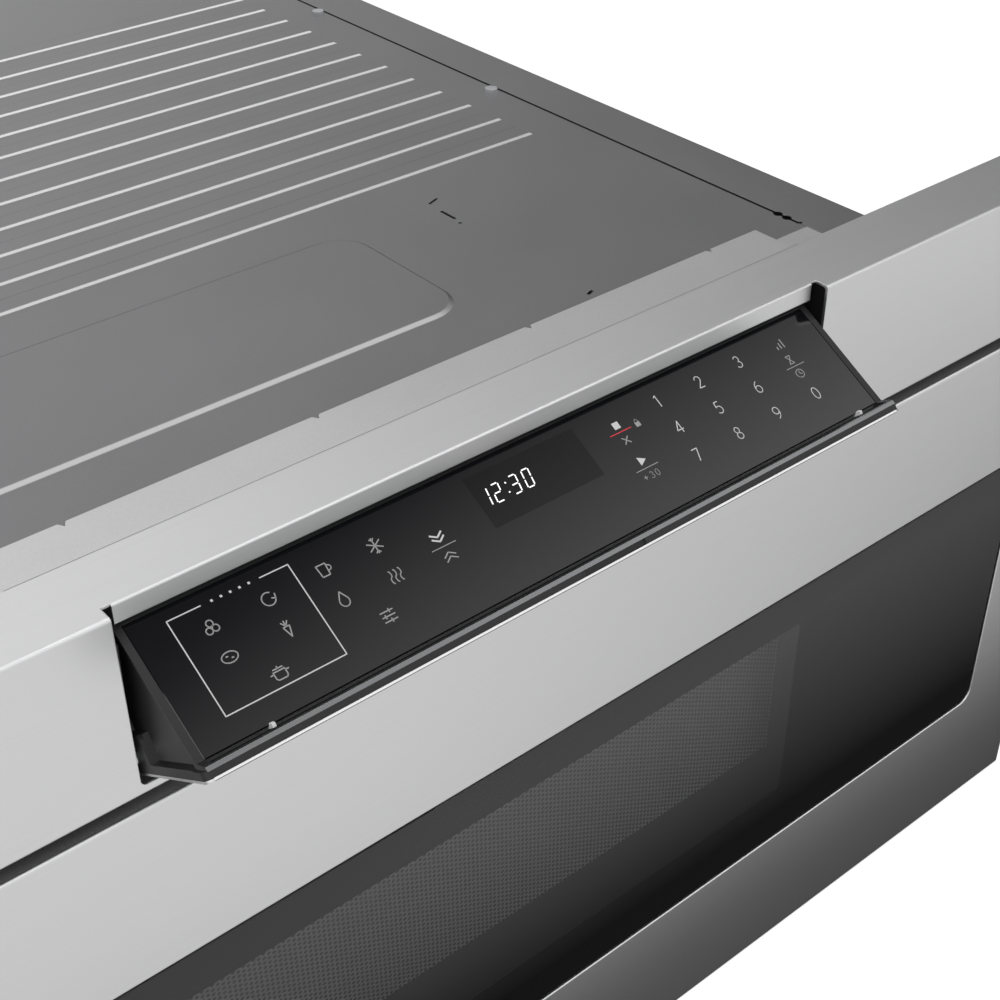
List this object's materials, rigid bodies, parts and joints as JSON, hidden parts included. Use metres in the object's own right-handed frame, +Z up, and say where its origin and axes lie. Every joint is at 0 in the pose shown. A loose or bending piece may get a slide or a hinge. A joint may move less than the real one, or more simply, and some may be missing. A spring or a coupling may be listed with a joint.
{
  "type": "microwave drawer",
  "caption": "Built-in stainless microwave drawer: powered pull-out oven drawer with a dark window, under a fascia with a tilt-out touch control panel.",
  "frame": {"origin": "on the underside of the chassis floor, centred across the width, in the plane of the cabinet face that the mounting frame closes against", "axes": "-Y points out of the front towards the room, +Z is up, +X is to the right of a person facing the front"},
  "size_m": [0.7588, 0.6661, 0.3987],
  "materials": {
    "stainless": "brushed",
    "galvanised": "satin",
    "pale_steel": "satin",
    "liner_paint": "satin",
    "window_glass": "polished",
    "mask_black": "matt",
    "screen_black": "satin",
    "touch_glass": "polished",
    "black_plastic": "moulded texture",
    "white_plastic": "moulded",
    "silver_strip": "satin",
    "ceramic": "glazed",
    "slide_steel": "zinc plated",
    "board_green": "solder resist",
    "low_loss_board": "matt",
    "aluminium": "as formed",
    "laminations": "varnished",
    "nylon": "moulded",
    "steel_pin": "ground",
    "lamp_glass": "clear",
    "rubber": "matt",
    "screw_steel": "zinc plated"
  },
  "bodies": {
    "cabinet": {"fascia": "stainless", "front_frame": "galvanised", "pocket_cover": "pale_steel", "control_pocket": "galvanised", "hinge_bracket_left": "galvanised", "hinge_bracket_right": "galvanised", "chassis_side_left": "galvanised", "chassis_side_right": "galvanised", "base_pan": "galvanised", "back_panel": "galvanised", "top_cover": "galvanised", "oven_liner": "liner_paint", "stirrer_cover": "low_loss_board", "cavity_lamp": "lamp_glass", "stirrer_dome": "aluminium", "waveguide": "pale_steel", "magnetron": "aluminium", "stirrer_motor": "pale_steel", "transformer": "laminations", "capacitor": "aluminium", "main_board": "board_green", "fan_shroud": "black_plastic", "fan_motor": "pale_steel", "power_gland": "rubber", "interlock_left": "black_plastic", "interlock_right": "black_plastic", "slide_fixed_left": "slide_steel", "slide_fixed_right": "slide_steel", "drive_motor": "pale_steel", "motor_bracket": "galvanised", "cover_screws": "screw_steel"},
    "drawer": {"drawer_skin": "stainless", "drawer_top_cap": "black_plastic", "window_glass": "window_glass", "window_mask": "mask_black", "door_inner_panel": "screen_black", "choke_comb": "slide_steel", "choke_cover": "mask_black", "drawer_pan": "liner_paint", "ceramic_floor": "ceramic", "rear_glides": "nylon", "slide_drawer_left": "slide_steel", "slide_drawer_right": "slide_steel", "door_arm_left": "galvanised", "door_arm_right": "galvanised", "drive_rack": "nylon", "latch_hooks": "white_plastic"},
    "slide_middles": {"slide_middle_left": "slide_steel", "slide_middle_right": "slide_steel"},
    "drive_pinion_shaft": {"drive_pinion": "nylon"},
    "control_panel": {"panel_skin": "stainless", "panel_housing": "black_plastic", "panel_strip": "silver_strip", "touch_glass": "touch_glass", "panel_bumpers": "white_plastic", "display_board": "board_green", "hinge_pins": "steel_pin"},
    "fan_rotor": {"fan_wheel": "nylon"},
    "stirrer": {"stirrer_blade": "aluminium"}
  },
  "joints": [
    {"name": "drawer_slide", "type": "slide", "parent": "cabinet", "child": "drawer", "axis": [0, -1, 0], "range_m": [0, 0.381]},
    {"name": "slide_middles_travel", "type": "slide", "parent": "cabinet", "child": "slide_middles", "axis": [0, -1, 0], "range_m": [0, 0.1905]},
    {"name": "pinion_spin", "type": "hinge", "parent": "cabinet", "child": "drive_pinion_shaft", "pos_m": [0, 0.04, 0.0141], "axis": [1, 0, 0], "continuous": true},
    {"name": "panel_tilt", "type": "hinge", "parent": "cabinet", "child": "control_panel", "pos_m": [0, -0.026, 0.3258], "axis": [-1, 0, 0], "range_deg": [0, 56]},
    {"name": "fan_spin", "type": "hinge", "parent": "cabinet", "child": "fan_rotor", "pos_m": [0, 0.56, 0.205], "axis": [0, -1, 0], "continuous": true},
    {"name": "stirrer_spin", "type": "hinge", "parent": "cabinet", "child": "stirrer", "pos_m": [0, 0.215, 0.26], "axis": [0, 0, 1], "continuous": true}
  ],
  "couplings": [
    {"joint": "slide_middles_travel", "follows": "drawer_slide", "ratio": 0.5},
    {"joint": "pinion_spin", "follows": "drawer_slide", "rad_per_m": 95.238}
  ]
}
